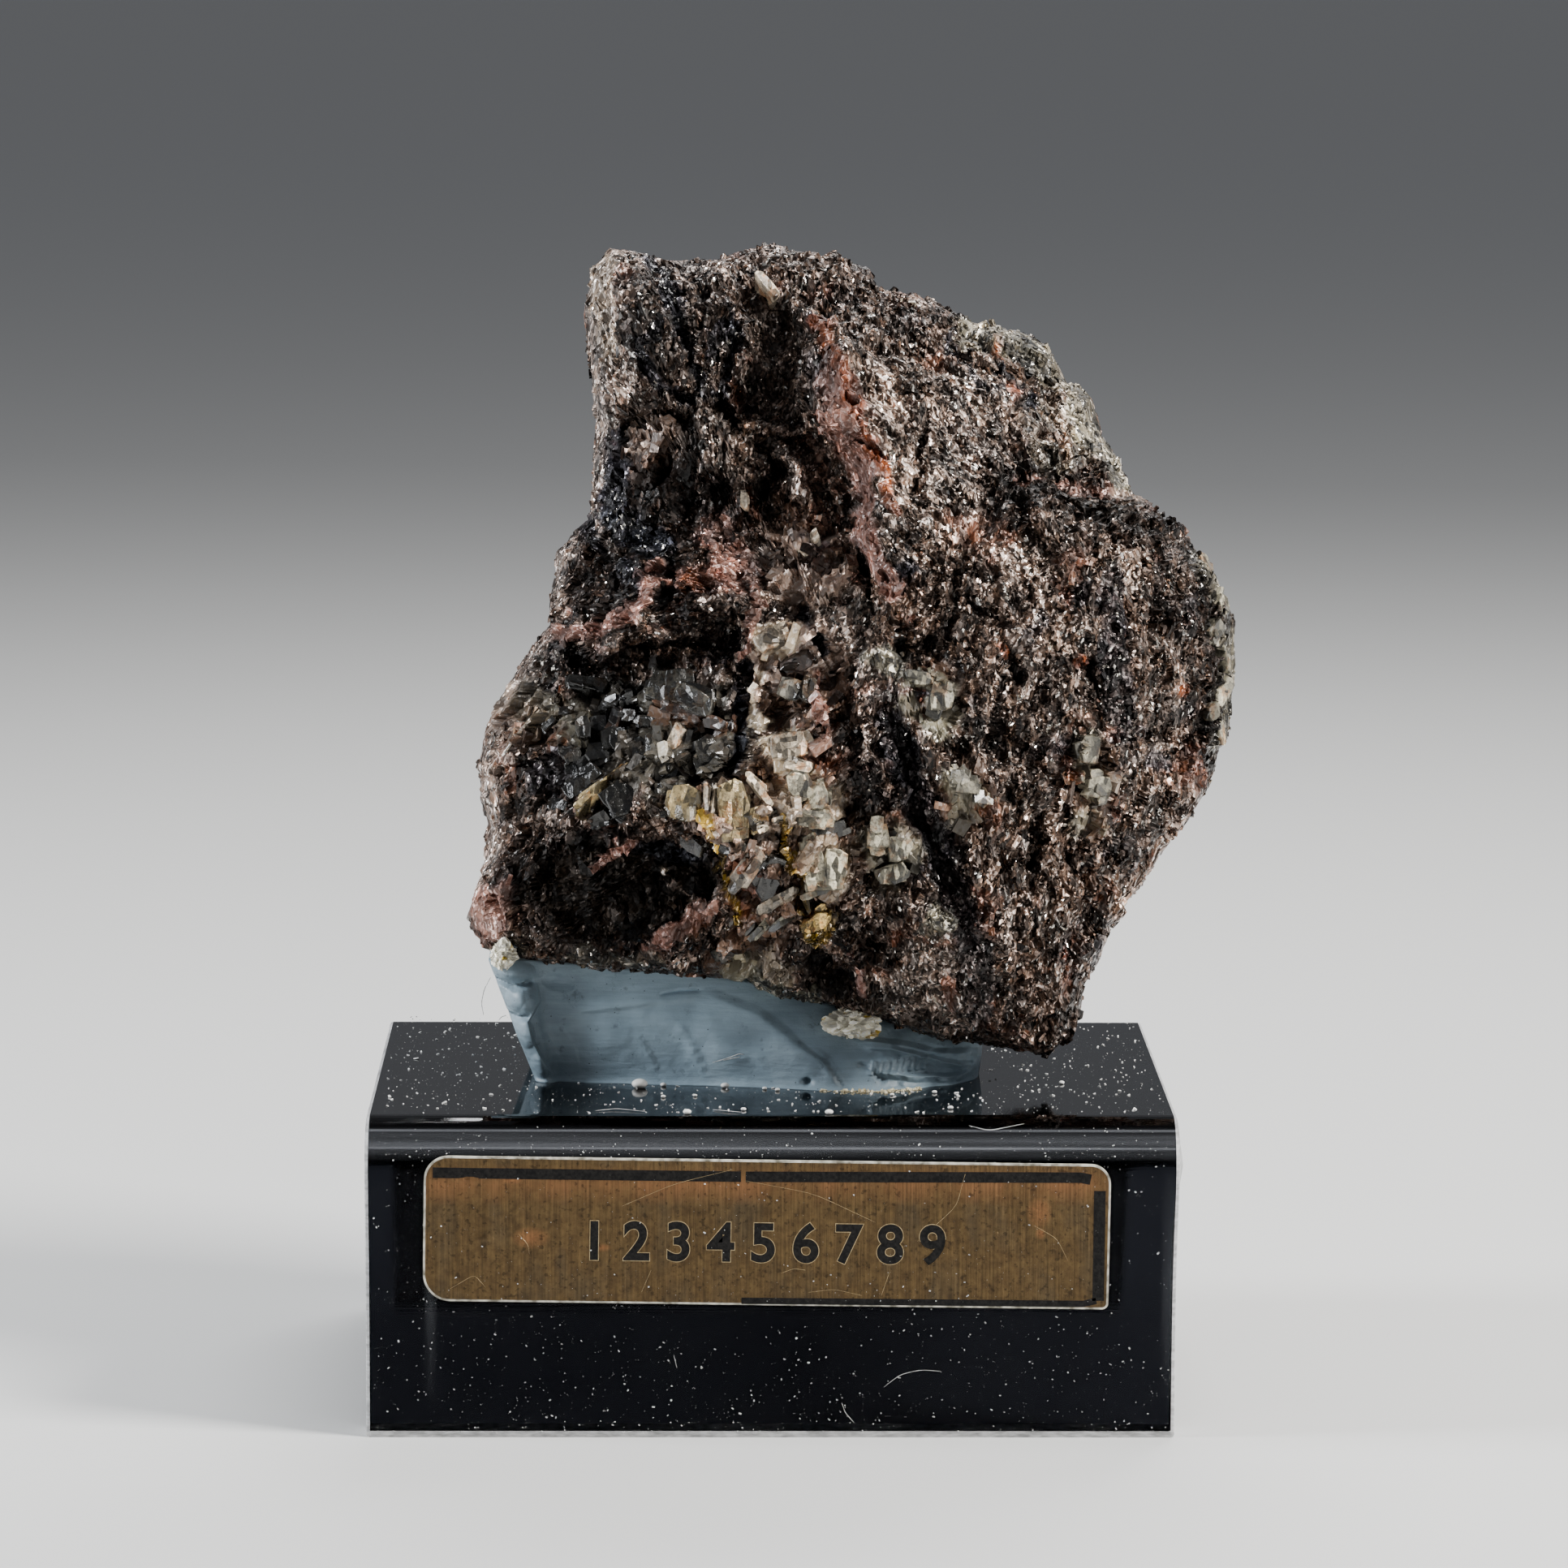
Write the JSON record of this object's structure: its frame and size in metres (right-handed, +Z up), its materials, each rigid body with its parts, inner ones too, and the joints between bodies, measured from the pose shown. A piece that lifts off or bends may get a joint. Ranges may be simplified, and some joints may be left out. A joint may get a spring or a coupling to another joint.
{
  "type": "chalcopyrite specimen on a display stand",
  "caption": "Rough chalcopyrite cabinet specimen leaning back on a wedge of putty, fixed on a small bent acrylic display stand with a foil label.",
  "frame": {"origin": "bottom centre of the whole object's box, on the surface that the stand rests on", "axes": "+Z up, +Y away from the labelled front, +X to the right as seen from the front"},
  "size_m": [0.0556, 0.0402, 0.0724],
  "materials": {
    "chalcopyrite": "granular metallic, dark brown with iron staining and brassy crystal plates",
    "putty": "satin blue-grey mineral putty",
    "acrylic": "dark smoke-tinted polished sheet with pale sawn edges and fine scratches",
    "label": "worn brushed foil with a black printed border",
    "crumb": "matt pale granular crumb"
  },
  "bodies": {
    "root": {"chalcopyrite": "chalcopyrite", "putty": "putty", "stand": "acrylic", "label": "label", "pale_crumb_left": "crumb", "pale_crumb_front": "crumb"}
  },
  "joints": []
}
